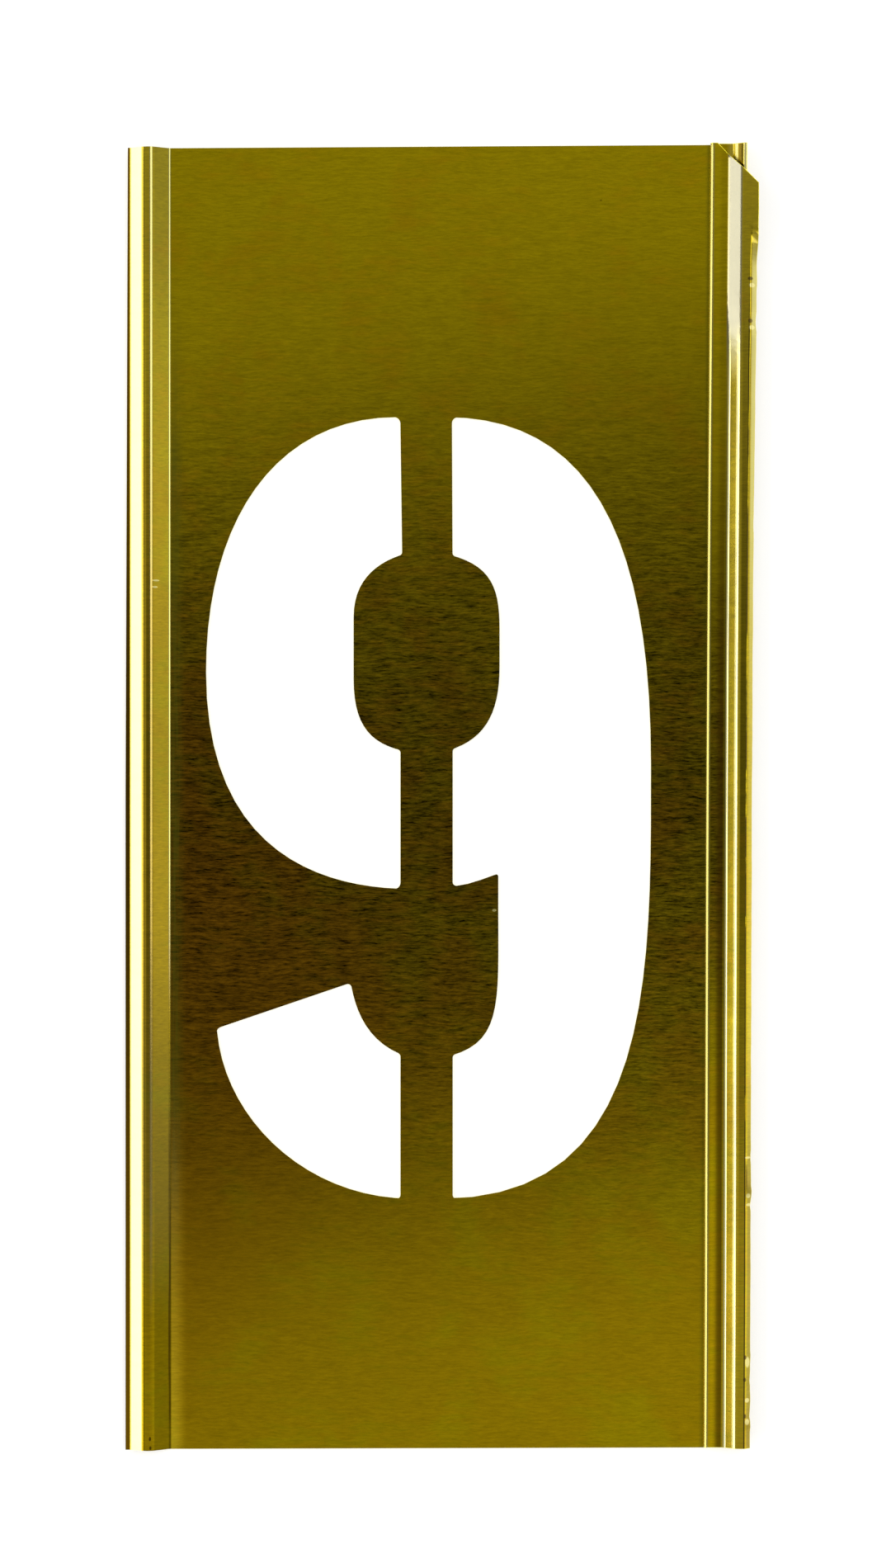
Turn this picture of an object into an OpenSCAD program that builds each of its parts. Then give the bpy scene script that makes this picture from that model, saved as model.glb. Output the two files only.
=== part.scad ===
// Interlocking lettering stencil in sheet brass, cut with a numeral nine.
// It lies on its back with the reader's side up: X to the right, Y to the top
// of the numeral, Z towards the reader. The origin is the middle of the back.
// All sizes are in millimetres.

/* [Sheet] */
// Thickness of the brass sheet of both formed pieces
sheet_t = 0.35; // [0.25:0.05:0.5]
// Radius of the sharp bends at the free lips, at the middle of the sheet
bend_r = 0.5; // [0.4:0.1:0.9]
// Radius of the bend at the foot of each slope and ramp
foot_r = 1.2; // [0.6:0.1:1.6]
// Radius of the bends beside a crest
crest_r = 2; // [0.8:0.1:2.1]
// Radius of the crease between a crest and the bent margin
crease_r = 0.35; // [0.3:0.05:0.8]

/* [Plate] */
// Width over the tongue and the lock rail
overall_w = 123.4; // [122:0.5:135]
// Height of the plate at its middle
plate_h = 254; // [248:1:300]
// How far the top edge was sheared off square, in degrees
top_shear = 0.34; // [0:0.02:0.6]
// How far the bottom edge was sheared off square, in degrees
bottom_shear = 0.15; // [0:0.01:0.4]

/* [Tongue] */
// Width of the flat lip along the outer edge
lip_w = 0.9; // [0.7:0.05:1.2]
// How much narrower the lip is at its top end
lip_taper = 0.45; // [0:0.05:0.5]
// How far the tongue lies below the middle of the next slot, so that it runs free
tongue_drop = 0.08; // [0:0.01:0.1]
// Width of the ramp between the ridge and the plate
ramp_w = 3.3; // [3:0.1:4.5]

/* [Interlock ridge] */
// Width of the tongue's slope, which locks it sideways
slope_w = 3; // [2.8:0.05:3.1]
// Height of that slope
slope_rise = 1.65; // [1.2:0.05:2]
// Width of the rail's level crest beside the slope
crest_w = 1.5; // [1.4:0.05:1.8]
// How much narrower the tongue's crest is, so that its ramp clears the margin
crest_tighter = 0.25; // [0:0.05:0.25]
// Play of a tongue in the slot, across the sheet
slot_play = 0.4; // [0.35:0.01:0.5]

/* [Lock rail] */
// How far the rail's top end stands above the plate's middle height
rail_top_proud = 0.5; // [0:0.1:1.5]
// How far its lower end stops short of the plate's bottom edge
rail_foot_short = 0.3; // [0:0.1:1.5]
// Lean of the rail, as it was soldered, in degrees
rail_lean = 0.31; // [0:0.01:0.5]
// Width of the flat band from the fold to the slope
band_w = 4.1; // [4:0.05:4.5]
// How much narrower and so steeper the rail's slope is than the tongue's
slope_tighter = 0.7; // [0:0.05:0.7]
// Width of the margin beyond the crest, before it is bent
margin_w = 1.5; // [1.1:0.05:1.8]
// Angle that the margin is bent down by
margin_bend = 38; // [20:1:50]
// Length of margin that stays flat below the top end
free_margin_len = 16.5; // [12:0.5:22]
// Length over which the margin turns from flat to bent
margin_ease_len = 7.5; // [5:0.5:12]
// Extra width of the slope at the mouth, where the leaf is eased open
mouth_ease = 0.65; // [0:0.05:0.7]
// Length of the eased mouth beyond the turning margin
mouth_hold_len = 4; // [2:0.5:10]
// Length over which the slope settles to its own width
mouth_ease_len = 14; // [8:1:30]
// Distance of the corner cut's lower end below the top end
corner_cut = 7.95; // [6:0.1:10]
// Width of the back leaf beyond its slope
back_lip_w = 0.45; // [0.3:0.05:1]

/* [Solder] */
// Thickness of the solder between the plate and the rail
solder_t = 0.06; // [0.04:0.01:0.12]
// Width of plate that laps under the rail, at its middle height
lap_w = 2.7; // [2.2:0.1:2.8]
// Size of the solder fillet along the plate's edge, behind the rail
solder_fillet = 0.25; // [0.15:0.05:0.3]
// How far the solder stops short of each end of the lap
solder_short = 1.5; // [0.5:0.5:4]

/* [Numeral] */
// Height of the numeral
numeral_h = 152.5; // [150:0.5:156]
// Distance from the plate's bottom edge to the numeral, at the middle
numeral_foot = 48.7; // [40:0.1:60]
// Distance from the left edge to the middle of the bridges
bridge_left = 58.7; // [56:0.1:62]
// Reach of the bowl to the left of the bridges
bowl_reach = 43.05; // [41:0.05:45]
// Reach of the stem to the right of the bridges
stem_reach = 43.8; // [42:0.1:46]
// Height of the bowl's widest place
bowl_mid = 102.8; // [98:0.1:106]
// Height of the bowl's lower edge
bowl_foot = 60.45; // [58:0.05:63]
// Height of the stem's widest place
stem_mid = 84.8; // [80:0.1:90]
// Height of the lower corner of the tail
tail_low = 33.2; // [31:0.1:35]
// Height of the upper corner of the tail
tail_high = 41.9; // [39:0.1:44]
// Reach of the tail's left end
tail_reach = 41; // [38:0.1:42]
// Reach of the tail's inner corner
tail_inner = 15.4; // [14:0.1:17]
// Height of the inner bend of the tail
tail_floor = 26.6; // [24:0.1:29]
// Reach of the stem's inner edge below the bowl
stem_inner = 14; // [12:0.1:16]

/* [Island and bridges] */
// Width of the lower bridges
bridge_w = 10.2; // [8:0.1:12]
// Width of the upper bridge where it leaves the top of the numeral
top_bridge_w = 10.1; // [8:0.1:12]
// Width of the upper bridge where it meets the island
neck_w = 9.8; // [8:0.1:12]
// How far the neck stands to the right of the bridge's middle
neck_shift = 0.2; // [0:0.05:0.6]
// Reach of the island to each side
island_reach = 14.25; // [12:0.05:17]
// Height of the island's top
island_top = 127; // [124:0.1:130]
// Height of the island's foot
island_foot = 86.4; // [83:0.1:89]
// Height of the upper end of the island's straight left side
island_side_top = 113.5; // [110:0.1:116]
// Height of the lower end of the island's straight left side
island_side_foot = 101.4; // [98:0.1:104]
// How much sooner the straight right side ends, up and down
island_side_short = 2.3; // [0:0.1:2.6]
// Radius of the large corners beside the bridges
corner_r = 1.2; // [0.6:0.1:1.8]
// Radius of the small corners
small_corner_r = 0.7; // [0.4:0.1:1]

/* [Hidden] */

brass = [0.62, 0.53, 0.12];
solder_grey = [0.62, 0.60, 0.52];

// Curves of the numeral. Each is the place of its level crown beside the
// bridges, and the shares of its height and width that it runs before it turns.
bowl_top_curve = [-5.8, 0.59, 0.64];
bowl_foot_curve = [-3.1, 0.86, 0.4];
stem_top_curve = [3.7, 0.68, 0.68];
stem_foot_curve = [3, 0.48, 1.02];
tail_foot_curve = [-3, 0.52, 0.56];
tail_bend_left = [4, 0.41, 0.96];
tail_bend_right = [-9.4, 0.8, 1.07];
island_top_left = [4.9, 0.83, 0.43];
island_top_right = [-10.7, 0.69, 0.89];
island_foot_left = [8.9, 0.9, 0.69];
island_foot_right = [-4.65, 0.67, 0.75];
// Height that each inner curve of the tail and stem starts above its corner
tail_foot_start = 2.1;
tail_bend_start = 9.6;
stem_bend_start = 30;
// Rise of the bowl's underside where it meets the bridge and the stem
bowl_rise_near = 0.45;
bowl_rise_far = 3;

curve_steps = 20;
bend_steps = 4;
fold_steps = 6;
corner_steps = 5;
ease_steps = 5;
past = 1;
bead_steps = 3;
fold_flat = 0.04;

rail_slope_w = slope_w - slope_tighter;
slope_angle = atan(slope_rise / rail_slope_w);
leaf_pitch = 2 * sheet_t + slot_play;
fold_r = (leaf_pitch - fold_flat) / 2;
back_leaf_z = 1.5 * sheet_t + solder_t;
front_leaf_z = back_leaf_z + leaf_pitch;
tongue_lip_z = (back_leaf_z + front_leaf_z) / 2 - tongue_drop;
nest_shift = leaf_pitch * tan(slope_angle / 2);

left_x = -overall_w / 2;
right_x = overall_w / 2;
fold_x = left_x + lip_w + slope_w + crest_w - crest_tighter + ramp_w;
rail_w = band_w + rail_slope_w + crest_w + margin_w;
rail_top = plate_h / 2 + rail_top_proud;
rail_len = plate_h + rail_top_proud - rail_foot_short;
rail_mid_x = right_x - rail_w - (rail_top - corner_cut) * tan(rail_lean);
plate_right = rail_mid_x + lap_w;
bridge_x = left_x + bridge_left;
numeral_y = -plate_h / 2 + numeral_foot;

// One point of a curve from a to d, drawn towards b and c
function curve_point(a, b, c, d, s) =
    pow(1 - s, 3) * a + 3 * pow(1 - s, 2) * s * b + 3 * (1 - s) * s * s * c + s * s * s * d;

// Quarter curve from the upright side of a form to its crown at that height
function bow(side, crown_y, curve) = [
    for (i = [0:curve_steps]) curve_point(
        side,
        [side.x, side.y + curve.y * (crown_y - side.y)],
        [curve.x + curve.z * (side.x - curve.x), crown_y],
        [curve.x, crown_y],
        i / curve_steps
    )
];

function backwards(points) = [for (i = [len(points) - 1:-1:0]) points[i]];
function unit(v) = v / norm(v);
function left_of(v) = [-v.y, v.x];
function turned(v, angle) = [v.x * cos(angle) - v.y * sin(angle), v.x * sin(angle) + v.y * cos(angle)];
function ease(s) = let (c = min(1, max(0, s))) c * c * (3 - 2 * c);

// Round corner at b between the points a and c, as the points of its arc and
// the direction to the left of the line at each
function round_corner(a, b, c, radius, steps) =
    let (
        first = unit(b - a),
        second = unit(c - b),
        turn = atan2(cross(first, second), first * second),
        bend = sign(turn),
        start = b - first * radius * tan(abs(turn) / 2),
        centre = start + bend * radius * left_of(first)
    )
    [
        for (i = [0:steps])
            let (side = turned(left_of(first), turn * i / steps))
            [centre - bend * radius * side, side]
    ];

// Line through the given corners, with each inner one rounded
function formed_line(corners, radii, steps) =
    let (last = len(corners) - 1)
    [
        [corners[0], left_of(unit(corners[1] - corners[0]))],
        for (i = [1:last - 1])
            each round_corner(corners[i - 1], corners[i], corners[i + 1], radii[i - 1], steps[i - 1]),
        [corners[last], left_of(unit(corners[last] - corners[last - 1]))]
    ];

// Section of a sheet formed along that line
function sheet_section(line) = concat(
    [for (place = line) place[0] + place[1] * sheet_t / 2],
    [for (i = [len(line) - 1:-1:0]) line[i][0] - line[i][1] * sheet_t / 2]
);

// Section of the plate from the tongue's lip to the edge under the rail
function plate_section() =
    let (
        crest_z = tongue_lip_z + slope_rise,
        slope_x = left_x + lip_w,
        crest_x = slope_x + slope_w
    )
    sheet_section(formed_line(
        [
            [left_x, tongue_lip_z],
            [slope_x, tongue_lip_z],
            [crest_x, crest_z],
            [crest_x + crest_w - crest_tighter, crest_z],
            [fold_x, sheet_t / 2],
            [plate_right, sheet_t / 2]
        ],
        [bend_r, crest_r, crest_r, foot_r],
        [bend_steps, bend_steps, bend_steps, bend_steps]
    ));

// How far the margin is bent at a distance below the rail's top end
function bend_at(depth) = margin_bend * ease((depth - free_margin_len) / margin_ease_len);

// How much wider the front slope is there
function slope_ease_at(depth) =
    mouth_ease * (1 - ease((depth - free_margin_len - margin_ease_len - mouth_hold_len) / mouth_ease_len));

// Section of the rail there: the back leaf, the fold and the front leaf
function rail_section(depth) =
    let (
        slope_x = band_w - slope_ease_at(depth),
        crest_x = band_w + rail_slope_w,
        back_slope_x = band_w + nest_shift,
        back_crest_x = crest_x + nest_shift,
        margin_x = crest_x + crest_w,
        bend = bend_at(depth)
    )
    sheet_section(formed_line(
        [
            [back_crest_x + back_lip_w, back_leaf_z + slope_rise],
            [back_crest_x, back_leaf_z + slope_rise],
            [back_slope_x, back_leaf_z],
            [sheet_t / 2, back_leaf_z],
            [sheet_t / 2, front_leaf_z],
            [slope_x, front_leaf_z],
            [crest_x, front_leaf_z + slope_rise],
            [margin_x, front_leaf_z + slope_rise],
            [margin_x + margin_w * cos(bend), front_leaf_z + slope_rise - margin_w * sin(bend)]
        ],
        [bend_r, foot_r, fold_r, fold_r, foot_r, crest_r, crease_r],
        [bend_steps, bend_steps, fold_steps, fold_steps, bend_steps, bend_steps, bend_steps]
    ));

// Distances below the top end at which the rail's section changes
function rail_depths() =
    let (mouth_start = free_margin_len + margin_ease_len + mouth_hold_len)
    [
        0,
        for (i = [0:ease_steps]) free_margin_len + margin_ease_len * i / ease_steps,
        for (i = [0:ease_steps]) mouth_start + mouth_ease_len * i / ease_steps,
        rail_len
    ];

// Body joined through equal sections of a sheet, from the first to the last
module sheet_loft(sections, places) {
    count = len(sections[0]);
    half = count / 2;
    last = (len(sections) - 1) * count;
    points = [
        for (i = [0:len(sections) - 1])
            for (p = sections[i]) [p.x, places[i], p.y]
    ];
    sides = [
        for (i = [0:len(sections) - 2])
            for (j = [0:count - 1])
                let (a = i * count + j, b = i * count + (j + 1) % count)
                each [[a, b, b + count], [a, b + count, a + count]]
    ];
    ends = [
        for (j = [0:half - 2])
            let (a = j, b = j + 1, c = count - 2 - j, d = count - 1 - j)
            each [
                [a, d, c], [a, c, b],
                [last + a, last + c, last + d], [last + a, last + b, last + c]
            ]
    ];
    polyhedron(points, concat(sides, ends), convexity = 8);
}

// Piece that leaves a corner of an opening round. It fills the corner at b
// between the edges that come from a and go on to c.
module corner_fill(a, b, c, radius) {
    arc = [for (place = round_corner(a, b, c, radius, corner_steps)) place[0]];
    outside = 2 * b - arc[floor(corner_steps / 2)];
    polygon(concat(arc, [outside]));
}

// Last point of a curve before it meets a straight edge, and the point where it does
function meeting(curve, edge_start, edge_end) =
    let (side = [for (p = curve) cross(edge_end - edge_start, p - edge_start)])
    [
        for (i = [0:len(curve) - 2])
            if (side[i] * side[i + 1] < 0)
                each [curve[i], curve[i] + (curve[i + 1] - curve[i]) * side[i] / (side[i] - side[i + 1])]
    ];

// Rounds the corner where a curve meets a straight edge and goes on along it
module meeting_fill(curve, edge_start, edge_end) {
    met = meeting(curve, edge_start, edge_end);
    corner_fill(met[0], met[1], edge_end, small_corner_r);
}

// Ends of the upper bridge's sides: at the top of the numeral and in the island
function bridge_top(side) = [side * top_bridge_w / 2 - neck_shift / 2, numeral_h + past];
function bridge_neck(side) = [side * neck_w / 2 + neck_shift, (island_top + island_side_top) / 2];

// Metal left standing between the left and the right openings
module bridge_strip() {
    polygon([
        bridge_top(-1),
        bridge_top(1),
        bridge_neck(1),
        [bridge_w / 2, island_foot],
        [bridge_w / 2, -past],
        [-bridge_w / 2, -past],
        [-bridge_w / 2, island_foot],
        bridge_neck(-1)
    ]);
}

// Everything to one side of the middle of the bridges
module half_field(side) {
    mirror([side < 0 ? 1 : 0, 0])
        translate([0, -past])
            square([stem_reach + 2 * past, numeral_h + 2 * past]);
}

// Half of the island, carried past the middle of the bridges, with its corners
// beside them rounded
module half_island(side, above, below) {
    polygon(concat(above, backwards(below)));
    meeting_fill(above, bridge_neck(side), bridge_top(side));
    meeting_fill(below, [side * bridge_w / 2, island_foot], [side * bridge_w / 2, 0]);
}

// Left half of the island
module island_left() {
    half_island(
        -1,
        bow([-island_reach, island_side_top], island_top, island_top_left),
        bow([-island_reach, island_side_foot], island_foot, island_foot_left)
    );
}

// Right half of the island
module island_right() {
    half_island(
        1,
        bow([island_reach, island_side_top - island_side_short], island_top, island_top_right),
        bow([island_reach, island_side_foot + island_side_short], island_foot, island_foot_right)
    );
}

// Opening for the bowl, left of the bridges
module bowl_opening() {
    side = [-bowl_reach, bowl_mid];
    top_corner = [-(top_bridge_w + neck_shift) / 2, numeral_h];
    low_corner = [-bridge_w / 2, bowl_foot];
    difference() {
        polygon(concat(
            bow(side, numeral_h, bowl_top_curve),
            [[0, numeral_h], [0, bowl_foot]],
            backwards(bow(side, bowl_foot, bowl_foot_curve))
        ));
        island_left();
        bridge_strip();
        corner_fill([-bowl_reach, numeral_h], top_corner, bridge_neck(-1), corner_r);
        corner_fill([low_corner.x, numeral_h], low_corner, [-bowl_reach, bowl_foot], corner_r);
    }
}

// Edge under the bowl, from the stem's inner side to the bridges
function bowl_underside() = [
    for (i = [0:corner_steps]) curve_point(
        [stem_inner, bowl_foot + bowl_rise_far],
        [stem_inner / 2, bowl_foot + bowl_rise_near],
        [stem_inner / 2, bowl_foot + bowl_rise_near],
        [0, bowl_foot + bowl_rise_near],
        i / corner_steps
    )
];

// Opening for the stem, right of the bridges
module stem_opening() {
    side = [stem_reach, stem_mid];
    bridge_side = [bridge_w / 2, 0];
    inner_bend = bow([stem_inner, tail_floor + stem_bend_start], tail_floor, tail_bend_right);
    top_corner = [(top_bridge_w - neck_shift) / 2, numeral_h];
    difference() {
        intersection() {
            polygon(concat(
                [[0, numeral_h]],
                backwards(bow(side, numeral_h, stem_top_curve)),
                bow(side, 0, stem_foot_curve),
                [[0, 0]],
                backwards(inner_bend),
                bowl_underside()
            ));
            half_field(1);
        }
        island_right();
        bridge_strip();
        corner_fill([stem_reach, numeral_h], top_corner, bridge_neck(1), corner_r);
        corner_fill([bridge_side.x, numeral_h], bridge_side, [stem_reach, 0], small_corner_r);
        meeting_fill(bowl_underside(), bridge_side, [bridge_side.x, numeral_h]);
        meeting_fill(inner_bend, [bridge_side.x, numeral_h], bridge_side);
    }
}

// Opening for the tail, left of the bridges
module tail_opening() {
    left_corner = [-tail_reach, tail_low];
    inner_corner = [-tail_inner, tail_high];
    low_corner = [-bridge_w / 2, 0];
    cut = unit(inner_corner - left_corner) * tail_reach;
    inner_bend = bow([-tail_inner, tail_high + tail_bend_start], tail_floor, tail_bend_left);
    difference() {
        intersection() {
            polygon(concat(
                backwards(bow([-tail_reach, tail_low + tail_foot_start], 0, tail_foot_curve)),
                inner_bend,
                [[tail_bend_left.x, 0]]
            ));
            half_field(-1);
        }
        polygon([left_corner - cut, inner_corner + cut, [0, numeral_h], [-2 * tail_reach, numeral_h]]);
        bridge_strip();
        corner_fill([-tail_reach, 0], left_corner, inner_corner, corner_r);
        meeting_fill(backwards(inner_bend), inner_corner, left_corner);
        meeting_fill(inner_bend, [low_corner.x, numeral_h], low_corner);
        corner_fill([-tail_reach, 0], low_corner, [low_corner.x, numeral_h], small_corner_r);
    }
}

// Outline left by the shear cuts at the top, the bottom and the tongue's edge
module sheared_outline() {
    reach = overall_w;
    top_end = reach * tan(top_shear);
    bottom_end = reach * tan(bottom_shear);
    difference() {
        polygon([
            [-reach, -plate_h / 2 - bottom_end],
            [reach, -plate_h / 2 + bottom_end],
            [reach, plate_h / 2 + top_end],
            [-reach, plate_h / 2 - top_end]
        ]);
        polygon([[left_x, 0], [left_x + 2 * lip_taper, plate_h], [-reach, plate_h], [-reach, 0]]);
    }
}

// Sets the rail's own frame in place: its outer edge touches the overall
// width at the lower end of the corner cut
module at_rail() {
    translate([right_x, rail_top - corner_cut, 0])
        rotate([0, 0, -rail_lean])
            translate([-rail_w, corner_cut, 0])
                children();
}

// Plate with its tongue, in one piece of sheet
module stencil_plate() {
    color(brass)
        difference() {
            intersection() {
                translate([0, plate_h, 0])
                    rotate([90, 0, 0])
                        linear_extrude(2 * plate_h)
                            polygon(plate_section());
                translate([0, 0, -past])
                    linear_extrude(tongue_lip_z + slope_rise + 2 * past)
                        sheared_outline();
            }
            translate([bridge_x, numeral_y, -past])
                linear_extrude(sheet_t + 2 * past) {
                    bowl_opening();
                    stem_opening();
                    tail_opening();
                }
        }
}

// Rail folded from one strip, whose two leaves hold the next plate's tongue
module lock_rail() {
    depths = rail_depths();
    color(brass)
        at_rail()
            difference() {
                sheet_loft([for (d = depths) rail_section(d)], [for (d = depths) -d]);
                corner_cutter();
            }
}

// Cuts the front leaf's corner and leaves the back leaf whole
module corner_cutter() {
    middle_z = (back_leaf_z + front_leaf_z) / 2;
    half_nest = nest_shift / 2;
    top_z = front_leaf_z + slope_rise + past;
    intersection() {
        translate([0, 0, back_leaf_z])
            linear_extrude(top_z)
                polygon([
                    [rail_w - corner_cut - past, past],
                    [rail_w + past, past],
                    [rail_w + past, -corner_cut - past]
                ]);
        translate([0, past, 0])
            rotate([90, 0, 0])
                linear_extrude(corner_cut + 3 * past)
                    polygon([
                        [0, middle_z],
                        [band_w + half_nest, middle_z],
                        [band_w + rail_slope_w + half_nest, middle_z + slope_rise],
                        [rail_w + 2 * past, middle_z + slope_rise],
                        [rail_w + 2 * past, top_z],
                        [0, top_z]
                    ]);
    }
}

// Section of the solder across the lap, in the rail's own frame: the film
// under the back leaf, and the bead drawn up against the foot of the fold
function solder_section() =
    let (
        centre = [sheet_t / 2 + fold_r, back_leaf_z + fold_r],
        outer_r = fold_r + sheet_t / 2,
        last_angle = 90 * bead_steps / fold_steps
    )
    concat(
        [[rail_w, sheet_t], [rail_w, sheet_t + solder_t]],
        [
            for (i = [0:bead_steps])
                let (angle = 90 * i / fold_steps)
                centre - outer_r * [sin(angle), cos(angle)]
        ],
        [[centre.x - outer_r * sin(last_angle) - solder_t, sheet_t]]
    );

// Solder drawn in between the plate and the rail's back leaf
module solder_seam() {
    seam_h = plate_h - 2 * solder_short;
    color(solder_grey) {
        intersection() {
            at_rail()
                rotate([90, 0, 0])
                    linear_extrude(rail_len)
                        polygon(solder_section());
            translate([rail_mid_x - rail_w, -seam_h / 2, 0])
                cube([plate_right - rail_mid_x + rail_w, seam_h, 2 * back_leaf_z]);
        }
        translate([plate_right, seam_h / 2, sheet_t + solder_t])
            rotate([90, 0, 0])
                linear_extrude(seam_h)
                    polygon([[0, 0], [solder_fillet, 0], [0, -solder_fillet]]);
    }
}

stencil_plate();
lock_rail();
solder_seam();
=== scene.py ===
"""Looks of an interlocking brass lettering stencil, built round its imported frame.

X runs from the tongue to the lock rail, Y to the top of the numeral and Z
towards the reader. All sizes are in metres.
"""

import math

import bmesh
import bpy
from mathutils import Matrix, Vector, noise


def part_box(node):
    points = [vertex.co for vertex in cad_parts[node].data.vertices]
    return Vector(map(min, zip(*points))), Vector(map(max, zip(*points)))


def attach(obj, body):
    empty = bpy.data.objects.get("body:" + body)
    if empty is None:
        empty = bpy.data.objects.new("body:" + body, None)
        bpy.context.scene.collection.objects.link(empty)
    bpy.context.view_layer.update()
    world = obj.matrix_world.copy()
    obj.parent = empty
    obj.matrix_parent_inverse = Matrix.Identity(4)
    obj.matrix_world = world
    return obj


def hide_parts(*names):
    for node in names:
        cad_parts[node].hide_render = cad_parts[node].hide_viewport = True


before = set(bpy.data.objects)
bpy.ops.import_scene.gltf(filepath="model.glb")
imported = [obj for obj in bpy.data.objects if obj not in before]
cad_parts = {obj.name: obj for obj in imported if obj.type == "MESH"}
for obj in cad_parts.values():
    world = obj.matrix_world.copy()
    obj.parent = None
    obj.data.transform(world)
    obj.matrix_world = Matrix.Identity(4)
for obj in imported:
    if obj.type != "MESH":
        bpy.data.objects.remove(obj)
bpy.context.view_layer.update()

MM = 0.001

# Places on the part, as its own construction gives them. U runs across the leaning rail, from its fold
LEFT_X = -61.7 * MM
FOLD_X = -53.25 * MM
RIGHT_X = 61.7 * MM
RAIL_TOP = 127.5 * MM
RAIL_W = 9.4 * MM
CORNER_CUT = 7.95 * MM
RAIL_LEAN = math.radians(0.31)
SLOPE_U = 4.1 * MM
CREST_U = 6.4 * MM
CREASE_U = 7.9 * MM
TONGUE_CREST_X = -57.4 * MM

# The rail's fold is rubbed flat along a narrow band: its middle across the rail, the height of that, its
# half width and its slope
FOLD_FLAT_U = 0.37 * MM
FOLD_FLAT_Z = 1.7308 * MM
FOLD_FLAT_HALF = 0.19 * MM
FOLD_FLAT_LEAN = math.tan(math.radians(30.15))

# The rail bows slightly to the left, most of all at this depth below its top end, and its bent margin
# lies further in from a depth on
BOW = 0.25 * MM
BOW_DEPTH = 115 * MM
BOW_REACH = 130 * MM
MARGIN_SHIFT = 0.2 * MM
MARGIN_SHIFT_DEPTH = 40 * MM
MARGIN_SHIFT_REACH = 30 * MM

# Widths of the roundings along the cut edges, and at the sheet's pointed corners in the numeral
PLATE_EDGE_ROUND = 0.16 * MM
RAIL_EDGE_ROUND = 0.1 * MM
POINT_ROUND = 0.6 * MM

# Distances between the lines that are added across the shapes
PLATE_SLICE = 4 * MM
PLATE_STRIP = 5 * MM
RAIL_SLICE = 1 * MM
RAIL_SLICES = 255
SOLDER_SLICE = 1.5 * MM

# Photograph: size of a pixel on the work, the pixels of the part's origin and of the picture's middle, and
# the picture's height. Camera: its height over the table and its sensor's width in millimetres
PIXEL = 0.16112 * MM
ORIGIN_PX = (535.7, 966.2)
PHOTO_MIDDLE_PX = (540.0, 950.0)
PHOTO_HEIGHT_PX = 1900
CAMERA_HEIGHT = 0.8
SENSOR = 36

# Lamps, world and floor
LAMP_DISTANCE = 3.0
OVERHEAD_LIGHT = 0.46
BEAM_DARKNESS = 0.8
FLOOR_HALF = 8
FLOOR_GAP = 0.05 * MM
FLOOR_GLOW = 0.5

# How far from the middle the overhead beam darkens each sheet, and how deep the fine relief of the metal is
PLATE_DARK_REACH = 75 * MM
RAIL_DARK_REACH = 46 * MM
GRAIN_DEPTH = 0.02 * MM
SOLDER_DEPTH = 0.08 * MM

# Colours of the metal, and of the light and shade painted on it, as linear light
OLIVE_BRASS = (0.50, 0.375, 0.0025)
BROWN_BRASS = (0.50, 0.33, 0.0025)
WORN_AND_SHEEN_BRASS = (0.62, 0.56, 0.165)
GREEN_SHADE = (0.15, 0.155, 0.012)
OLIVE_SHADE = (0.125, 0.087, 0.003)
BROWN_SHADE = (0.115, 0.055, 0.003)
DARK_TARNISH_AND_SHADE = (0.07, 0.035, 0.003)
FRESH_BRASS_AND_HIGHLIGHT = (0.88, 0.79, 0.30)
DULL_HIGHLIGHT_BRASS = (0.27, 0.245, 0.145)
FOLD_HIGHLIGHT_BRASS = (0.36, 0.30, 0.04)
LIP_BROWN = (0.25, 0.12, 0.003)
EDGE_BRASS = (0.98, 0.86, 0.05)
SOLDER_GREY = (0.46, 0.45, 0.41)
SOLDER_DARK = (0.20, 0.19, 0.17)


def photo_place(px, py):
    """Place on the part that a pixel of the photograph shows."""
    return (px - ORIGIN_PX[0]) * PIXEL, (ORIGIN_PX[1] - py) * PIXEL


# Values in materials

class Wire:
    """A value in a material. Arithmetic on it adds Math nodes."""

    def __init__(self, paint, socket):
        self.paint, self.socket = paint, socket

    def maths(self, operation, *values):
        return self.paint.node("ShaderNodeMath", {"operation": operation}, dict(enumerate(values)))

    def __add__(self, other):
        return self.maths("ADD", self, other)

    def __mul__(self, other):
        return self.maths("MULTIPLY", self, other)

    def __sub__(self, other):
        return self.maths("SUBTRACT", self, other)

    def __rsub__(self, other):
        return self.maths("SUBTRACT", other, self)

    def __truediv__(self, other):
        return self.maths("DIVIDE", self, other)

    def __pow__(self, other):
        return self.maths("POWER", self, other)

    def __abs__(self):
        return self.maths("ABSOLUTE", self)

    __radd__ = __add__
    __rmul__ = __mul__


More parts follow.
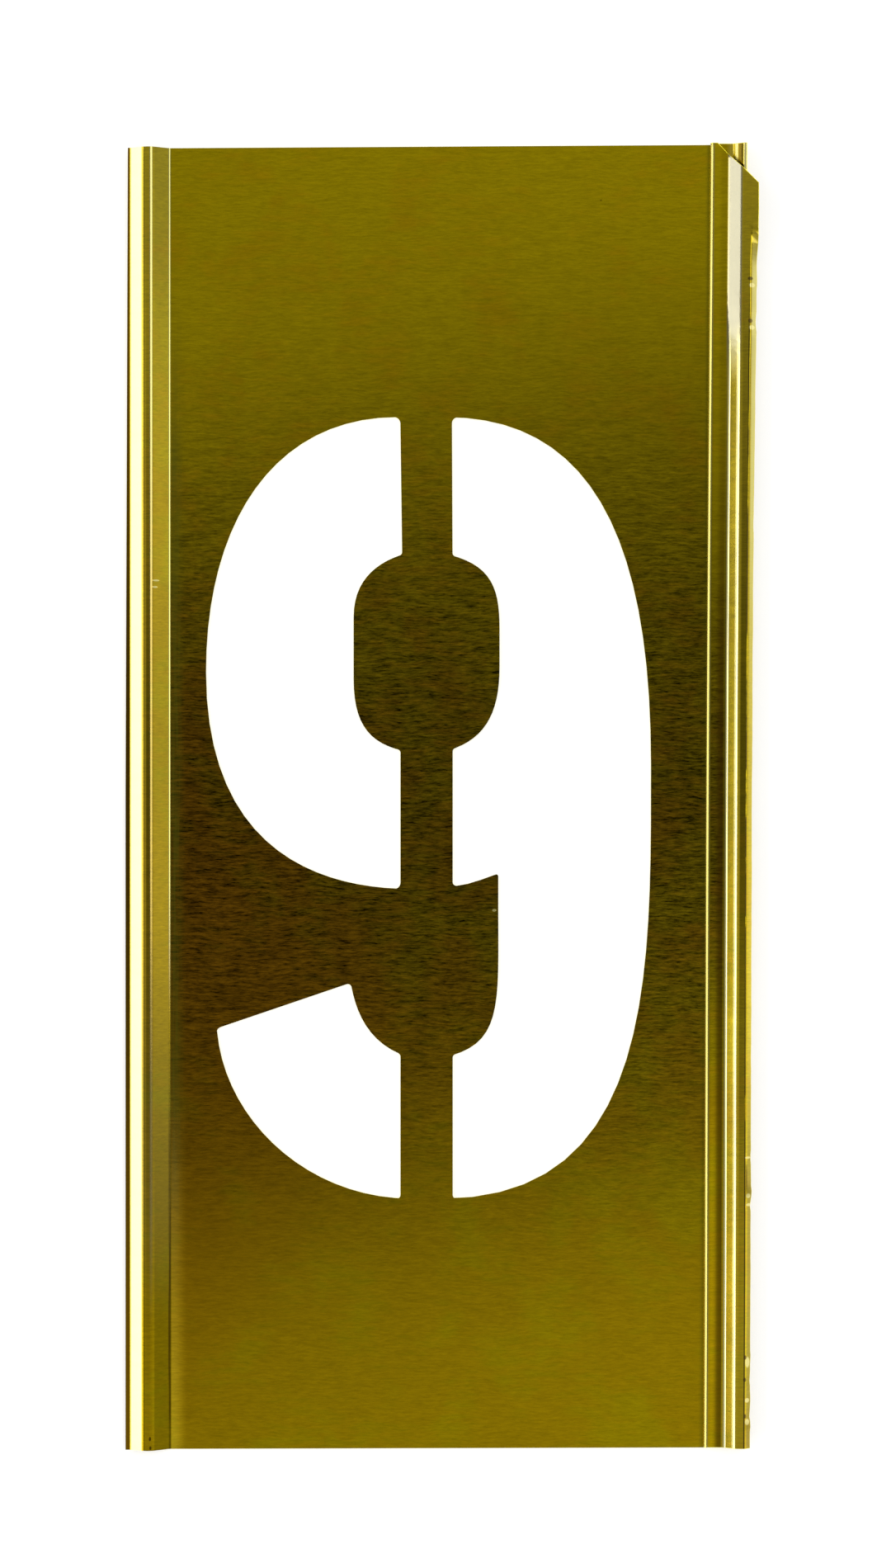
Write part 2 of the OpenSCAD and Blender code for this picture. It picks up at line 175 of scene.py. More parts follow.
class Paint:
    """The node tree of one material or of the world."""

    def __init__(self, tree):
        self.tree = tree
        tree.nodes.clear()

    def node(self, kind, settings=None, values=None, out=0):
        """Adds a node, makes its settings, fills its sockets and gives one of its outputs, if it has any."""
        made = self.tree.nodes.new(kind)
        for name, value in (settings or {}).items():
            setattr(made, name, value)
        for name, value in (values or {}).items():
            if isinstance(value, Wire):
                self.tree.links.new(value.socket, made.inputs[name])
            elif value is not None:
                made.inputs[name].default_value = value
        return Wire(self, made.outputs[out]) if len(made.outputs) else made

    def blend(self, factor, first, second, way="MIX"):
        """Colour between two colours."""
        first, second = ((*c, 1.0) if isinstance(c, tuple) else c for c in (first, second))
        return self.node("ShaderNodeMix", {"data_type": "RGBA", "blend_type": way},
                         {0: factor, 6: first, 7: second}, out=2)

    def toned(self, colour, red, green, blue):
        """The colour with its red, green and blue multiplied."""
        tone = self.node("ShaderNodeCombineXYZ", {}, {0: red, 1: green, 2: blue})
        return self.blend(1.0, colour, tone, "MULTIPLY")

    def apart(self, vector):
        """The three lengths of a vector."""
        return [self.node("ShaderNodeSeparateXYZ", {}, {0: vector}, out=axis) for axis in "XYZ"]

    def step(self, value, low, high):
        """0 below low and 1 above high, with a smooth rise in between."""
        return self.node("ShaderNodeMapRange", {"interpolation_type": "SMOOTHSTEP"},
                         {"Value": value, "From Min": low, "From Max": high})

    def band(self, value, low, high, soft):
        """1 between low and high, with smooth sides."""
        return self.step(value, low - soft, low + soft) * (1 - self.step(value, high - soft, high + soft))

    def stretched(self, place, x, y, z):
        """The place with each of its lengths multiplied."""
        return self.node("ShaderNodeVectorMath", {"operation": "MULTIPLY"}, {0: place, 1: (x, y, z)})

    def grain(self, place, detail=2.0, rough=0.5, warp=0.0):
        """Noise of size 1, between 0 and 1."""
        return self.node("ShaderNodeTexNoise", {}, {
            "Vector": place, "Scale": 1.0, "Detail": detail, "Roughness": rough, "Distortion": warp,
        })

    def spots(self, place, size, share):
        """Small round spots, one in each of a share of the cells of size 1."""
        cell = self.node("ShaderNodeTexVoronoi", {}, {"Vector": place, "Scale": 1.0})
        pick = self.node("ShaderNodeTexVoronoi", {}, {"Vector": place, "Scale": 1.0}, out="Color")
        drawn = self.node("ShaderNodeSeparateColor", {}, {0: pick})
        return (1 - self.step(cell, size * 0.5, size)) * self.step(drawn, 1 - share, 1.001 - share)

    def marks(self, x, y, ovals):
        """1 in small oval marks, each given by its pixel of the photograph and its half sizes in pixels."""
        share = 0
        for px, py, half_w, half_h in ovals:
            at_x, at_y = photo_place(px, py)
            off = abs((x - at_x) / (half_w * PIXEL)) ** 2 + abs((y - at_y) / (half_h * PIXEL)) ** 2
            share = 1 - self.step(off, 0.4, 1.2) + share
        return share


# Small marks of use on the plate, and painted highlights and shadows on the rail's dents: pixel of the
# photograph, then half width and half height in pixels
BRIGHT_PLATE_MARKS = ((599, 1103, 2.5, 1.5), (190, 704, 4, 1.2), (189, 712, 3, 1.2))
DARK_PLATE_MARKS = ((183, 1741, 1.5, 3), (183.5, 1752, 1.5, 2.5), (606, 823, 3, 2))
RAIL_DENT_HIGHLIGHTS = ((910, 348, 4, 3), (910, 399, 4, 3), (905, 1401, 4, 1.5), (905.5, 1447, 3, 3),
                     (906.5, 1458, 4, 2), (904.5, 1648, 3, 7), (904, 1694, 3, 3), (904, 1720, 3, 4))
RAIL_DENT_SHADOWS = ((908, 340, 3.5, 2.5), (908, 391, 3, 3), (903.5, 1425, 0.8, 20),
                   (901.5, 1642, 2, 3), (901, 1669, 2, 3), (901.5, 1713, 1.5, 3))


def new_paint(name):
    """A material and its empty tree."""
    material = bpy.data.materials.new(name)
    material.use_nodes = True
    return material, Paint(material.node_tree)


def object_place(paint):
    """Object coordinates, and their three lengths."""
    place = paint.node("ShaderNodeTexCoord", out="Object")
    return place, *paint.apart(place)


def finish_metal(paint, colour, roughness, relief, strength, depth=GRAIN_DEPTH, coat=0.0, metallic=1.0):
    """Closes a metal's tree with its shader."""
    normal = paint.node("ShaderNodeBump", {}, {"Strength": strength, "Distance": depth, "Height": relief})
    shader = paint.node("ShaderNodeBsdfPrincipled", {}, {
        "Base Color": colour, "Roughness": roughness, "Metallic": metallic,
        "Coat Weight": coat, "Coat Roughness": 0.1, "Normal": normal,
    })
    paint.node("ShaderNodeOutputMaterial", {}, {"Surface": shader})


# Brass

def rail_across(x, y):
    """Distance across the leaning rail, from its fold."""
    return RAIL_W + (x - RIGHT_X) * math.cos(RAIL_LEAN) - (y - RAIL_TOP + CORNER_CUT) * math.sin(RAIL_LEAN)


def brass_surface(paint, formed, painted_shade, wear_and_sheen, dark_reach):
    """Rolled brass with its fine streaks. formed is 1 where rolls have burnished it. The second mask is 1
    where shade is painted into the colour, and the third is 1 where wear from another stencil and a painted
    sheen make it pale. Gives the colour, the roughness, the relief and the coat."""
    place, x, y, z = object_place(paint)
    down = y * -1
    sway = paint.grain(paint.stretched(place, 110, 45, 110), 2.0)
    wavy = paint.node("ShaderNodeCombineXYZ", {}, {0: x, 1: y + sway * 0.0012, 2: z})
    fleck = paint.grain(paint.stretched(wavy, 380, 2500, 900), 3.0, 0.65)
    fine = paint.grain(paint.stretched(wavy, 900, 6200, 900), 2.0, 0.6)
    smear = paint.grain(paint.stretched(wavy, 130, 700, 300), 2.0, 0.5)
    patch = paint.grain(paint.stretched(place, 75, 60, 75), 3.0, 0.55, 0.4)
    streak = (fleck - 0.5) * 1.0 + (fine - 0.5) * 0.6 + (smear - 0.5) * 0.25

    # Painted reflection: the middle is darkened as if it mirrored the dark beam overhead, and a brown stain
    # lies at its left
    flat = 1 - formed
    off_middle = abs(y + 0.002) / dark_reach
    middle = paint.node("ShaderNodeMath", {"operation": "EXPONENT"}, {0: off_middle ** 3.1 * -1}) * flat
    stain = 1 - paint.step(abs(x + 0.05) + abs(y + 0.042) * 0.7, 0.015, 0.075)
    uneven = patch + (smear - 0.5) * 0.5 + (fleck - 0.5) * 0.3
    brown = paint.step(uneven + stain * 0.1 - y * 0.9 - paint.step(x, 0, 0.06) * 0.07, 0.36, 0.64)
    colour = paint.blend(brown, OLIVE_BRASS, BROWN_BRASS)
    beam_reflection = paint.blend(brown, OLIVE_SHADE, BROWN_SHADE)
    colour = paint.blend(middle * 0.85, colour, beam_reflection)

    # Painted light and shade: the sheet is paler at the lower right and at the upper left
    low_right = paint.step(down, 0.0, 0.07) * (4.2 - paint.step(down, 0.08, 0.13) * 2.6)
    high_left = paint.step(y, 0.01, 0.06) * (1 - paint.step(y, 0.08, 0.12)) * 2.4
    shade = (1 + streak * (0.65 + middle * middle * 3.2)) * (1 + x * (low_right - high_left))
    sides = paint.band(y, -0.045, -0.008, 0.012) * abs(x)
    shade = shade * (1 + paint.step(down, 0.06, 0.11) * 0.08 + sides * 2.6)
    colour = paint.toned(colour, shade, shade * (1 - stain * flat * 0.19), shade)

    # Painted shade, wear and painted sheen, dark specks and bright scratches
    colour = paint.blend(painted_shade * 0.7, colour, GREEN_SHADE)
    colour = paint.blend(wear_and_sheen, colour, WORN_AND_SHEEN_BRASS)
    specks = paint.spots(paint.stretched(place, 160, 230, 160), 0.06, 0.05)
    colour = paint.blend(specks * flat * 0.85, colour, DARK_TARNISH_AND_SHADE)
    glints = paint.spots(paint.stretched(place, 120, 170, 120), 0.035, 0.05)
    colour = paint.blend(glints * flat * 0.6, colour, FRESH_BRASS_AND_HIGHLIGHT)

    roughness = 0.235 - formed * 0.1 - wear_and_sheen * 0.03 + (smear - 0.5) * 0.05 + painted_shade * 0.08
    return colour, roughness, fleck * 0.6 + smear * 0.4, formed * 0.35 + wear_and_sheen * 0.65


def plate_brass():
    """The plate, with shade painted beside its fold and under the rail, and its tongue painted pale for wear
    and sheen.
    """
    material, paint = new_paint("rolled_plate_brass")
    place, x, y, _ = object_place(paint)
    down = y * -1
    formed = 1 - paint.step(x, FOLD_X + 0.25 * MM, FOLD_X + 0.5 * MM)
    across = rail_across(x, y)
    ripple = paint.grain(paint.stretched(place, 2600, 70, 300), 2.0)
    # Painted shade beside the fold and under the rail
    by_fold = paint.step(x, FOLD_X + 0.3 * MM, FOLD_X + 0.7 * MM)
    by_fold = by_fold * (1 - paint.step(x, FOLD_X + 0.8 * MM, FOLD_X + 3.6 * MM))
    by_fold = by_fold * (1 - paint.step(abs(y - 5 * MM), 55 * MM, 105 * MM))
    by_rail = paint.step(across, -1.1 * MM, -0.2 * MM)
    # The tongue slope painted pale for wear and sheen, and a painted highlight along the fold line
    wear_and_sheen = paint.band(x, LEFT_X + 1.05 * MM, TONGUE_CREST_X - 1.1 * MM, 0.25 * MM)
    fold_highlight = paint.band(x, FOLD_X - 0.1 * MM, FOLD_X + 0.25 * MM, 0.05 * MM)
    fold_highlight = fold_highlight * paint.step(y, -45 * MM, -15 * MM)
    painted_shade = by_fold * (ripple * 1.5 - 0.05) + by_rail * 0.5
    wear_and_highlights = wear_and_sheen + fold_highlight * 0.8
    colour, roughness, relief, coat = brass_surface(paint, formed, painted_shade, wear_and_highlights, PLATE_DARK_REACH)

    # Lip darkened brown, painted shade on the ramp towards its ends and at the slope's end, and a painted
    # gleam on the plate at the tongue's foot
    lip = 1 - paint.step(x, LEFT_X + 0.75 * MM, LEFT_X + 0.95 * MM)
    colour = paint.blend(lip * 0.85, colour, LIP_BROWN)
    ramp = paint.step(x, TONGUE_CREST_X + 1 * MM, TONGUE_CREST_X + 1.6 * MM) * formed
    ends = paint.step(down, 25 * MM, 115 * MM) * 0.5 + paint.step(y, 60 * MM, 125 * MM) * 0.28
    shade = 1 - ramp * ends
    slope_end = paint.band(x, TONGUE_CREST_X - 1.05 * MM, TONGUE_CREST_X - 0.5 * MM, 0.12 * MM)
    shade = shade * (1 - slope_end * 0.5)
    bottom = paint.step(down, 75 * MM, 105 * MM)
    foot = paint.step(down, 50 * MM, 85 * MM)
    gleam = foot * (1 - formed) * (1 - paint.step(x, FOLD_X + 0.6 * MM, FOLD_X + 3.8 * MM))
    shade = shade * (1 + gleam * 0.75)
    blue = shade * (1 + ramp * (1 - fold_highlight) * (1 - bottom) * 2 + gleam * 3)
    colour = paint.toned(colour, shade, shade * (1 + ramp * 0.05 + gleam * 0.1), blue)

    # Painted shadow in the fold, the painted highlight line of the crest and the small marks
    crease_shadow = paint.band(x, FOLD_X - 0.15 * MM, FOLD_X + 0.25 * MM, 0.06 * MM)
    crease_shadow = crease_shadow * foot * paint.step(ripple, 0.3, 0.6)
    colour = paint.blend(crease_shadow * 0.7, colour, DARK_TARNISH_AND_SHADE)
    crest_highlight = paint.band(x, TONGUE_CREST_X + 0.5 * MM, TONGUE_CREST_X + 1.05 * MM, 0.1 * MM)
    upper = paint.step(y, 20 * MM, 80 * MM)
    crest_highlight_brass = paint.blend(upper * 0.6, DULL_HIGHLIGHT_BRASS, WORN_AND_SHEEN_BRASS)
    colour = paint.blend(crest_highlight * (0.4 + upper * 0.5 - bottom * 0.4), colour, crest_highlight_brass)
    bright = paint.marks(x, y, BRIGHT_PLATE_MARKS)
    colour = paint.blend(bright * 0.9, colour, FRESH_BRASS_AND_HIGHLIGHT)
    colour = paint.blend(paint.marks(x, y, DARK_PLATE_MARKS) * 0.85, colour, DARK_TARNISH_AND_SHADE)
    coat = coat * (1 - lip) * (1 - bottom * (1 - wear_and_sheen))
    finish_metal(paint, colour, roughness, relief + bright * 4, strength=0.3, coat=coat)
    return material


def rail_brass():
    """The folded rail. Its slope is made pale at the mouth, and its margin along the edge, by wear and a
    painted sheen; painted highlights and shade lie along it.
    """
    material, paint = new_paint("folded_rail_brass")
    place, x, y, _ = object_place(paint)
    depth = (RAIL_TOP - y) * math.cos(RAIL_LEAN)
    across = rail_across(x, y) + (1 - abs((depth - BOW_DEPTH) / BOW_REACH) ** 2) ** 2 * BOW
    formed = 1 - paint.band(across, 0.9 * MM, SLOPE_U - 0.7 * MM, 0.15 * MM)
    # Painted shade along the crease
    ragged = paint.grain(paint.stretched(place, 300, 90, 300), 3.0)
    lower = 1 - paint.step(y, -95 * MM, -55 * MM)
    crease_shade = paint.band(across, CREASE_U - 0.28 * MM, CREASE_U - 0.08 * MM, 0.05 * MM)
    crease_shade = crease_shade * paint.step(ragged + lower * 0.35, 0.4, 0.5) * paint.step(depth, 25 * MM, 40 * MM)
    mouth = paint.step(y, RAIL_TOP - 48 * MM, RAIL_TOP - 34 * MM)
    covered = paint.step(depth - across + RAIL_W - CORNER_CUT, -0.05 * MM, 0.05 * MM)
    slope = paint.band(across, SLOPE_U - 0.3 * MM, CREST_U - 0.4 * MM, 0.2 * MM)
    bent = paint.step(depth, 15 * MM, 27 * MM)
    margin = paint.step(across, CREASE_U + 0.1 * MM, CREASE_U + 0.5 * MM)
    fold = 1 - paint.step(across, 0.6 * MM, 0.85 * MM)
    # The slope at the mouth and the margin painted pale for wear and sheen, and the fold for a painted
    # highlight
    wear_and_sheen = slope * (0.02 + mouth * 0.83) * covered + margin * bent * (0.2 + paint.step(y, 0, 70 * MM) * 0.6)
    wear_and_highlights = wear_and_sheen + fold * 0.9
    colour, roughness, relief, coat = brass_surface(paint, formed, crease_shade, wear_and_highlights, RAIL_DARK_REACH)
    # Painted shade along the crease and a painted highlight along the fold
    colour = paint.blend(crease_shade * 0.85, colour, DARK_TARNISH_AND_SHADE)
    colour = paint.blend(fold * 0.95, colour, FOLD_HIGHLIGHT_BRASS)
    turning = margin * paint.band(depth, 15 * MM, 24 * MM, 1 * MM)
    roughness = roughness + turning * 0.13 + slope * mouth * 0.2 + fold * 0.14

    # Painted brown shade beside the slope, and the painted highlight and shade stripes of the back leaf where
    # the front one is cut off
    foot = paint.step(across, 1.4 * MM, 3.0 * MM)
    foot = foot * (1 - paint.step(across, SLOPE_U - 0.85 * MM, SLOPE_U - 0.65 * MM))
    colour = paint.blend(foot * (0.12 + (1 - paint.step(y, 10 * MM, 95 * MM)) * 0.6), colour, BROWN_SHADE)
    gleam = paint.band(across, 4.9 * MM, 5.4 * MM, 0.1 * MM) + paint.band(across, 6.5 * MM, 7.3 * MM, 0.1 * MM)
    colour = paint.blend(gleam * (1 - covered) * 0.9, colour, FRESH_BRASS_AND_HIGHLIGHT)
    gloom = paint.band(across, 5.5 * MM, 6.3 * MM, 0.1 * MM) + paint.step(across, 7.4 * MM, 7.6 * MM)
    colour = paint.blend(gloom * (1 - covered) * 0.7, colour, BROWN_SHADE)

    # Painted light and shade along the rail, the painted sheen of the mouth dimmed, painted highlights on the
    # two ridges of the slope, and the dents' painted highlights and shadows
    lit = paint.band(across, 0.9 * MM, 2.2 * MM, 0.4 * MM)
    lit = lit * (0.1 + (1 - paint.step(y, -60 * MM, -20 * MM)) * 0.3)
    lit = lit - margin * (1 - paint.step(y, -75 * MM, -45 * MM)) * 0.4
    slope_shade = slope * (1 - mouth)
    colour = paint.toned(colour, 1 + lit - slope_shade * 0.28, 1 + lit - slope_shade * 0.29, 1 + lit)
    dimmed_mouth_sheen = paint.band(across, SLOPE_U - 0.6 * MM, CREST_U - 0.25 * MM, 0.15 * MM) * mouth * covered
    colour = paint.blend(dimmed_mouth_sheen * 0.95, colour, DULL_HIGHLIGHT_BRASS)
    left_ridge_highlight = paint.band(across, SLOPE_U - 0.35 * MM, SLOPE_U + 0.15 * MM, 0.1 * MM)
    right_ridge_highlight = paint.band(across, CREST_U - 1.0 * MM, CREST_U - 0.35 * MM, 0.1 * MM)
    colour = paint.blend((left_ridge_highlight + right_ridge_highlight * 0.75) * covered * (1 - mouth), colour, FRESH_BRASS_AND_HIGHLIGHT)
    colour = paint.blend(paint.marks(x, y, RAIL_DENT_HIGHLIGHTS) * 0.7, colour, FRESH_BRASS_AND_HIGHLIGHT)
    colour = paint.blend(paint.marks(x, y, RAIL_DENT_SHADOWS) * 0.8, colour, DARK_TARNISH_AND_SHADE)
    coat = coat + slope * mouth * 0.6
    finish_metal(paint, colour, roughness, relief * (1 - fold), strength=0.25, coat=coat)
    return material


def cut_edge_brass():
    """The bright metal of the punched and sheared edges."""
    material, paint = new_paint("cut_edge_brass")
    place, *_ = object_place(paint)
    tear = paint.grain(paint.stretched(place, 2500, 2500, 600), 3.0, 0.6)
    patch = paint.grain(paint.stretched(place, 180, 180, 180), 2.0)
    colour = paint.blend(paint.step(patch, 0.45, 0.75) * 0.4, EDGE_BRASS, OLIVE_BRASS)
    finish_metal(paint, colour, 0.22 + tear * 0.16, tear, strength=0.5)
    return material


def soft_solder():
    """Dull solder, rippled and pitted."""
    material, paint = new_paint("soft_solder")
    place, *_ = object_place(paint)
    ripple = paint.grain(paint.stretched(place, 500, 260, 500), 3.0, 0.55, 0.6)
    pitted = paint.spots(paint.stretched(place, 900, 900, 900), 0.2, 0.15)
    colour = paint.blend(paint.step(ripple, 0.4, 0.7) * 0.6 + pitted * 0.4, SOLDER_GREY, SOLDER_DARK)
    relief = ripple - pitted * 0.4
    finish_metal(paint, colour, 0.38 + ripple * 0.2, relief, strength=0.7, depth=SOLDER_DEPTH, metallic=0.9)
    return material


# Shapes

def merged_copy(node):
    """A node's shape with its doubled points merged and its flat faces joined."""
    bm = bmesh.new()
    bm.from_mesh(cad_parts[node].data)
    bmesh.ops.remove_doubles(bm, verts=bm.verts, dist=0.001 * MM)
    bmesh.ops.dissolve_limit(bm, angle_limit=math.radians(0.2), verts=bm.verts, edges=bm.edges)
    return bm


def is_sharp(edge, least=50):
    """Whether the faces beside an edge meet at more than this many degrees."""
    return len(edge.link_faces) == 2 and edge.calc_face_angle(0) > math.radians(least)


def mark_cut_faces(bm):
    """Gives material 1 to every face but those of the sheet's two broad sides."""
    groups, seen = [], set()
    for face in bm.faces:
        if face in seen:
            continue
        seen.add(face)
        group, ahead = [], [face]
        while ahead:
            here = ahead.pop()
            group.append(here)
            for edge in here.edges:
                if is_sharp(edge):
                    continue
                for other in edge.link_faces:
                    if other not in seen:
                        seen.add(other)
                        ahead.append(other)
        groups.append((sum(f.calc_area() for f in group), group))
    groups.sort(key=lambda entry: -entry[0])
    for _, group in groups[2:]:
        for face in group:
            face.material_index = 1


def round_edges(bm, width):
    """Takes the burr off every cut edge. The new faces get material 1."""
    sharp = [e for e in bm.edges if is_sharp(e)]
    bmesh.ops.bevel(bm, geom=sharp, affect="EDGES", offset=width, offset_type="OFFSET", segments=2,
                    profile=0.5, clamp_overlap=True, material=1)


def slice_up(bm, start, direction, spacing, count):
    """Adds lines across the faces at equal distances."""
    for i in range(1, count):
        bmesh.ops.bisect_plane(bm, geom=bm.verts[:] + bm.edges[:] + bm.faces[:], dist=0.0005 * MM,
                               plane_co=start + direction * spacing * i, plane_no=direction)


def slice_along(bm, node, spacing):
    """Adds lines across a node's shape, from its bottom edge to its top edge."""
    low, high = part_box(node)
    count = int((high.y - low.y) / spacing) + 1
    slice_up(bm, Vector((0, low.y, 0)), Vector((0, 1, 0)), spacing, count)


def piece(name, bm, materials, node):
    """Makes the object, shades it smooth but for its real corners, and sets it in the frame."""
    for face in bm.faces:
        face.smooth = True
    for edge in bm.edges:
        edge.smooth = not is_sharp(edge, 40)
    mesh = bpy.data.meshes.new(name)
    bm.to_mesh(mesh)
    bm.free()
    for material in materials:
        mesh.materials.append(material)
    made = bpy.data.objects.new(name, mesh)
    bpy.context.scene.collection.objects.link(made)
    shading = made.modifiers.new("flat_faces_stay_flat", "WEIGHTED_NORMAL")
    shading.keep_sharp = True
    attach(made, "root")
    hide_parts(node)
    return made


def rise(value, start, reach):
    """0 up to the start and 1 from its reach on."""
    return min(1.0, max(0.0, (value - start) / reach))


def hump(distance, reach):
    """1 at the middle of a dent, and 0 from its reach outwards."""
    share = max(0.0, 1 - (distance / reach) ** 2)
    return share * share


def build_plate():
    """The plate with its pointed corners and its cut edges rounded, and slightly uneven."""
    bm = merged_copy("stencil_plate")
    pointed = [e for e in bm.edges if e.is_convex and is_sharp(e, 100)]
    bmesh.ops.bevel(bm, geom=pointed, affect="EDGES", offset=POINT_ROUND, offset_type="OFFSET", segments=5,
                    profile=0.5)
    mark_cut_faces(bm)
    round_edges(bm, PLATE_EDGE_ROUND)
    for face in bm.faces:
        if face.calc_center_median().x < LEFT_X + 0.15 * MM:
            face.material_index = 0
    slice_along(bm, "stencil_plate", PLATE_SLICE)
    slice_up(bm, Vector((FOLD_X + 1.5 * MM, 0, 0)), Vector((1, 0, 0)), PLATE_STRIP, 21)
    for vert in bm.verts:
        x, y, _ = vert.co
        flat = rise(x, FOLD_X, 6 * MM) * rise(-x, -50 * MM, 8 * MM)
        warp = noise.noise(Vector((x * 22, y * 17, 3.1))) * 0.06 * MM
        crown = noise.noise(Vector((0.7, y * 45, 8.3))) * 0.03 * MM
        vert.co.z += warp * flat + crown * (1 - flat) * (vert.co.z > 1.2 * MM)
    brass, edge = plate_brass(), cut_edge_brass()
    return piece("stencil_plate_sheet", bm, (brass, edge), "stencil_plate")


# Dents in the rail, in millimetres: depth below its top end, distance across it from the fold, how far each
# reaches along and across, how deep it is, and how far it pushes the metal outwards
RAIL_DENTS = (
    (27.0, 9.0, 2.2, 0.9, 0.12, 0.10),
    (35.2, 9.1, 2.6, 0.9, 0.20, -0.12),
    (36.8, 8.6, 1.4, 0.7, -0.12, 0.10),
    (74.6, 9.0, 2.0, 0.8, 0.14, -0.08),
    (197.6, 8.9, 1.6, 0.8, 0.12, -0.08),
    (204.4, 9.0, 1.2, 0.8, -0.16, 0.16),
    (207.0, 9.0, 1.3, 0.8, 0.20, -0.14),
    (236.4, 8.9, 1.3, 0.7, 0.16, 0.12),
    (240.9, 9.0, 1.4, 0.7, -0.14, -0.12),
    (244.5, 8.9, 1.3, 0.7, 0.16, 0.12),
    (247.7, 9.0, 1.2, 0.7, 0.14, -0.12),
    (249.7, 8.9, 1.2, 0.7, -0.12, 0.12),
)


def build_rail():
    """The rail with its fold rubbed flat, its bow, its shifted and wavy margin and its dents."""
    bm = merged_copy("lock_rail")
    mark_cut_faces(bm)
    round_edges(bm, RAIL_EDGE_ROUND)
    along = Vector((-math.sin(RAIL_LEAN), -math.cos(RAIL_LEAN), 0))
    across = Vector((math.cos(RAIL_LEAN), -math.sin(RAIL_LEAN), 0))
    corner = Vector((RIGHT_X, RAIL_TOP - CORNER_CUT, 0)) - across * RAIL_W - along * CORNER_CUT
    slice_up(bm, corner, along, RAIL_SLICE, RAIL_SLICES)
    slice_up(bm, corner, across, FOLD_FLAT_HALF, 4)
    for vert in bm.verts:
        offset = vert.co - corner
        u, depth = offset.dot(across), offset.dot(along)
        outer = rise(u, CREST_U, 2.2 * MM)
        front = vert.co.z > 1.3 * MM
        if vert.co.z > 1.6 * MM and abs(u - FOLD_FLAT_U) < FOLD_FLAT_HALF:
            vert.co.z = FOLD_FLAT_Z + (u - FOLD_FLAT_U) * FOLD_FLAT_LEAN
        wave = noise.noise(Vector((depth * 110, 5.2, 1.7))) * 0.05 * MM
        wave += noise.noise(Vector((depth * 420, 2.9, 4.4))) * 0.035 * MM
        vert.co += across * wave * outer * front
        vert.co -= across * 0.1 * MM * front * max(0.0, 1 - ((u - 4.7 * MM) / (3.2 * MM)) ** 2)
        vert.co -= across * BOW * hump(depth - BOW_DEPTH, BOW_REACH)
        vert.co -= across * MARGIN_SHIFT * outer * rise(depth, MARGIN_SHIFT_DEPTH, MARGIN_SHIFT_REACH)
        vert.co.z += noise.noise(Vector((depth * 60, 9.7, u * 300))) * 0.015 * MM * rise(u, 0, 4 * MM)
        if not front:
            continue
        for at_depth, at_u, along_reach, across_reach, sink, push in RAIL_DENTS:
            share = hump(depth - at_depth * MM, along_reach * MM)
            if share == 0:
                continue
            share *= hump(u - at_u * MM, across_reach * MM * 1.6)
            vert.co.z -= sink * MM * share
            vert.co += across * push * MM * share
    brass, edge = rail_brass(), cut_edge_brass()
    return piece("lock_rail_sheet", bm, (brass, edge), "lock_rail")


def build_solder():
    """The solder with its wavy sides."""
    bm = merged_copy("solder_seam")
    slice_along(bm, "solder_seam", SOLDER_SLICE)
    low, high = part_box("solder_seam")
    middle, half = (low.x + high.x) / 2, (high.x - low.x) / 2
    for vert in bm.verts:
        x, y, _ = vert.co
        edge = max(0.0, abs(x - middle) / half - 0.6) / 0.4
        wave = 0.5 + noise.noise(Vector((y * 260, 1.3, 0)))
        vert.co.x -= math.copysign(0.1 * MM, x - middle) * edge * wave
    return piece("solder_run", bm, (soft_solder(),), "solder_seam")


# Studio

def light_world():
    """Bright towards the white table, dimmer overhead, and dark along the beam that the camera hangs from."""
    world = bpy.data.worlds.new("studio")
    bpy.context.scene.world = world
    world.use_nodes = True
    paint = Paint(world.node_tree)
    sideways, along, up = paint.apart(paint.node("ShaderNodeTexCoord", out="Generated"))
    left = paint.step(sideways * -1, 0.1, 0.4)
    tilt = paint.node("ShaderNodeMath", {"operation": "ARCCOSINE"}, {0: up}) * (180 / math.pi)
    beam = (1 - paint.step(abs(along), 0.02, 0.15)) * (1 - paint.step(tilt, 12, 30))
    wall = paint.step(tilt, 38, 60) * (0.24 - left * 0.3) + paint.step(tilt, 74, 84) * (0.5 + left * 0.3)
    level = (OVERHEAD_LIGHT + wall) * (1 - beam * BEAM_DARKNESS)
    shader = paint.node("ShaderNodeBackground", {}, {"Color": (1, 1, 1, 1), "Strength": level})
    paint.node("ShaderNodeOutputWorld", {}, {"Surface": shader})


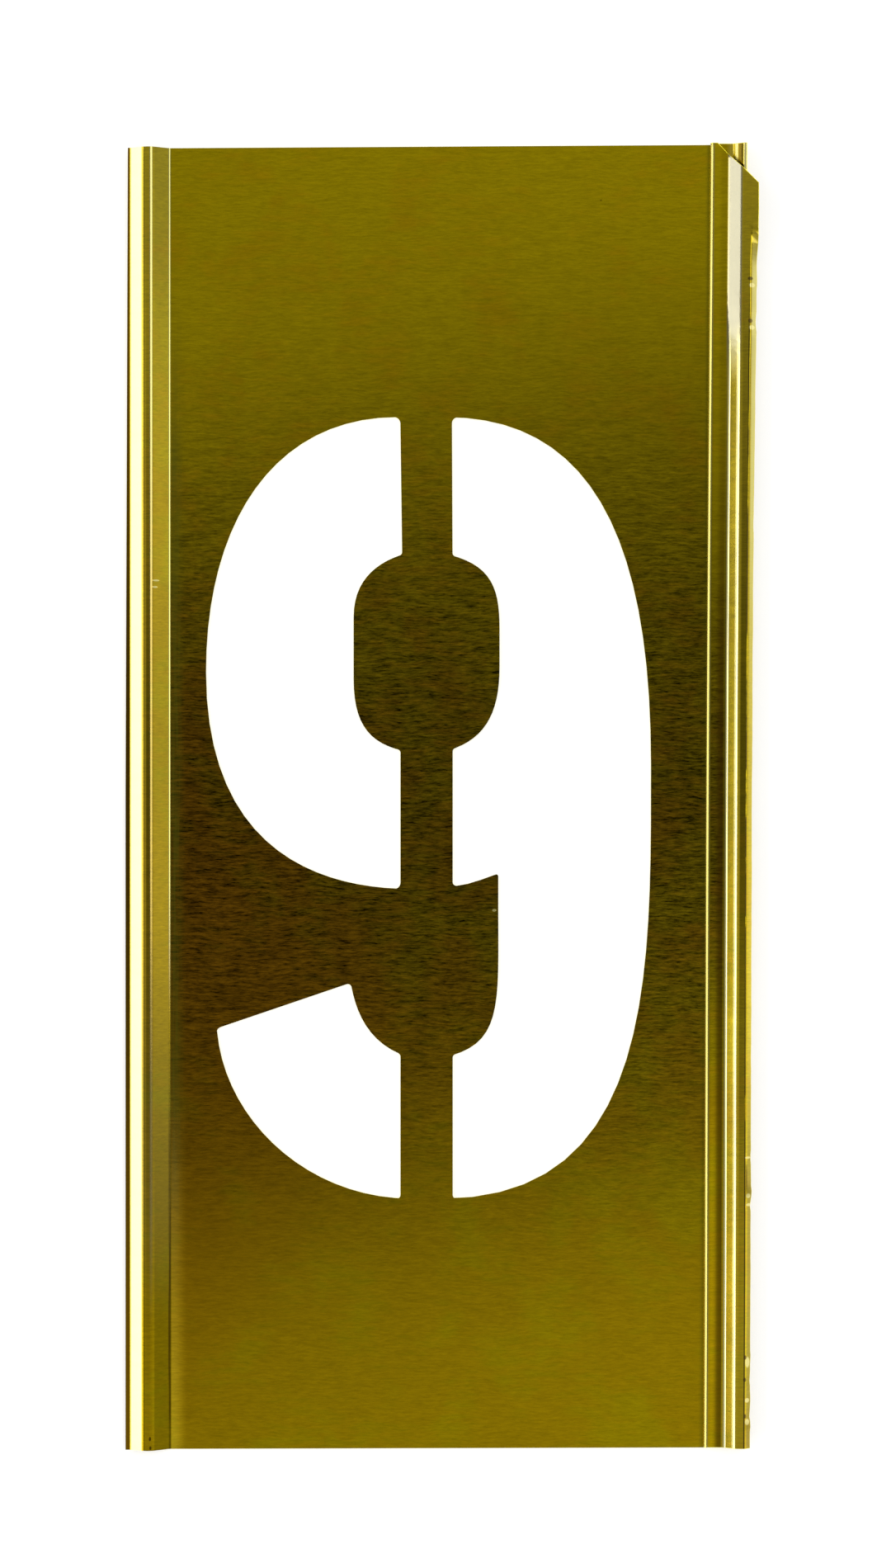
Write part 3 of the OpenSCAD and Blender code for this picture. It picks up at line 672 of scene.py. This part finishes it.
def softbox(name, side, elevation, shift_y, width, length, radiance):
    """Rectangular lamp that faces the part, on the left for a side of -1 and on the right for 1. Its length
    runs along Y."""
    lamp = bpy.data.lights.new(name, "AREA")
    lamp.shape = "RECTANGLE"
    lamp.size, lamp.size_y = width, length
    lamp.energy = radiance * width * length * math.pi
    made = bpy.data.objects.new(name, lamp)
    angle = math.radians(elevation)
    made.location = (side * math.cos(angle) * LAMP_DISTANCE, shift_y, math.sin(angle) * LAMP_DISTANCE)
    made.rotation_euler = (0, side * math.radians(90 - elevation), 0)
    bpy.context.scene.collection.objects.link(made)


def pale_floor():
    """White ground that shows as white, also in the metal, and keeps the part's shadow."""
    bm = bmesh.new()
    bmesh.ops.create_grid(bm, x_segments=1, y_segments=1, size=FLOOR_HALF)
    bmesh.ops.translate(bm, verts=bm.verts, vec=(0, 0, -FLOOR_GAP))
    mesh = bpy.data.meshes.new("floor")
    bm.to_mesh(mesh)
    bm.free()
    material, paint = new_paint("pale_floor")
    seen = paint.node("ShaderNodeLightPath", out="Is Camera Ray")
    mirrored = paint.node("ShaderNodeLightPath", out="Is Glossy Ray")
    through = paint.node("ShaderNodeLightPath", out="Is Transmission Ray")
    ground = paint.node("ShaderNodeBsdfDiffuse", {}, {"Color": (0.8, 0.8, 0.79, 1)})
    strength = (seen + mirrored + through) * FLOOR_GLOW
    glow = paint.node("ShaderNodeEmission", {}, {"Color": (1, 1, 1, 1), "Strength": strength})
    both = paint.node("ShaderNodeAddShader", {}, {0: ground, 1: glow})
    paint.node("ShaderNodeOutputMaterial", {}, {"Surface": both})
    mesh.materials.append(material)
    floor = bpy.data.objects.new("floor", mesh)
    bpy.context.scene.collection.objects.link(floor)


def photo_camera():
    """Camera straight above the part, with the photograph's frame."""
    lens = bpy.data.cameras.new("camera")
    lens.sensor_width = SENSOR
    lens.lens = SENSOR * CAMERA_HEIGHT / (PHOTO_HEIGHT_PX * PIXEL)
    lens.clip_start, lens.clip_end = 0.01, 50
    made = bpy.data.objects.new("camera", lens)
    made.location = (*photo_place(*PHOTO_MIDDLE_PX), CAMERA_HEIGHT)
    bpy.context.scene.collection.objects.link(made)
    bpy.context.scene.camera = made


build_plate()
build_rail()
build_solder()
light_world()
softbox("left_softbox", side=-1, elevation=33.15, shift_y=0.0, width=0.72, length=5.0, radiance=3.6)
softbox("right_softbox", side=1, elevation=60, shift_y=1.85, width=1.0, length=4.0, radiance=1.9)
pale_floor()
photo_camera()
bpy.context.scene.view_settings.view_transform = "Standard"
